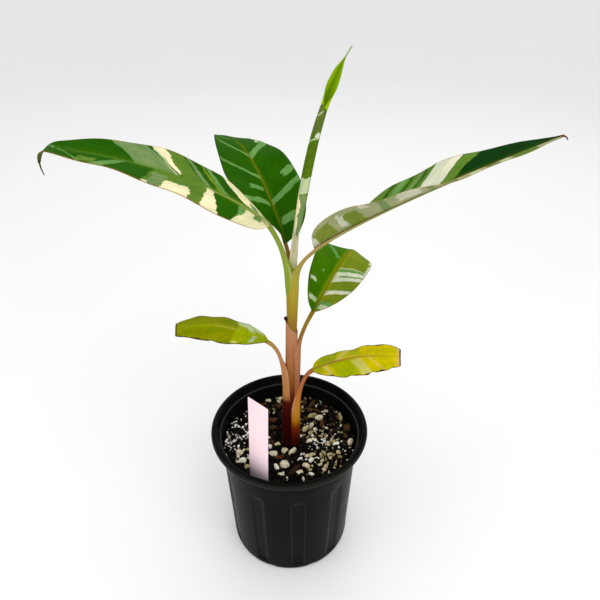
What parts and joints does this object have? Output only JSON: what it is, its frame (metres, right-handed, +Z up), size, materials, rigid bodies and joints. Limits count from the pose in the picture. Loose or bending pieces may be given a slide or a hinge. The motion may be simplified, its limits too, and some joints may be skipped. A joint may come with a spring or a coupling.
{
  "type": "banana plant",
  "caption": "Young variegated banana plant with long arching patterned leaves on a slim stem, in a round black fluted nursery pot.",
  "frame": {"origin": "centre of the pot's flat underside", "axes": "+Z up, -Y towards the plant's front, +X to its right; the two long leaves reach out along X"},
  "size_m": [0.3059, 0.1727, 0.3811],
  "materials": {
    "pot_plastic": "semi-gloss black injection-moulded plastic",
    "growing_mix": "rough dark mix of bark, peat, perlite and pumice",
    "label_plastic": "smooth pale pink plastic, blank",
    "stem_skin": "satin fleshy leaf bases, maroon at the foot to olive at the fork",
    "sheath_skin": "dull pinkish-brown old leaf base",
    "petiole_skin": "satin green to orange-brown leaf stalk",
    "green_blade": "waxy dark green leaf splashed with grey-green and cream",
    "yellow_blade": "ageing yellow-green leaf with dry brown edges"
  },
  "bodies": {
    "root": {"pot": "pot_plastic", "growing_mix": "growing_mix", "plant_label": "label_plastic", "pseudostem": "stem_skin", "old_sheath": "sheath_skin", "petiole_right_long": "petiole_skin", "blade_right_long": "green_blade", "petiole_left_long": "petiole_skin", "blade_left_long": "green_blade", "petiole_top_young": "petiole_skin", "blade_top_young": "green_blade", "petiole_back_broad": "petiole_skin", "blade_back_broad": "green_blade", "petiole_right_middle": "petiole_skin", "blade_right_middle": "green_blade", "petiole_left_lower": "petiole_skin", "blade_left_lower": "yellow_blade", "petiole_right_lower": "petiole_skin", "blade_right_lower": "yellow_blade"}
  },
  "joints": []
}
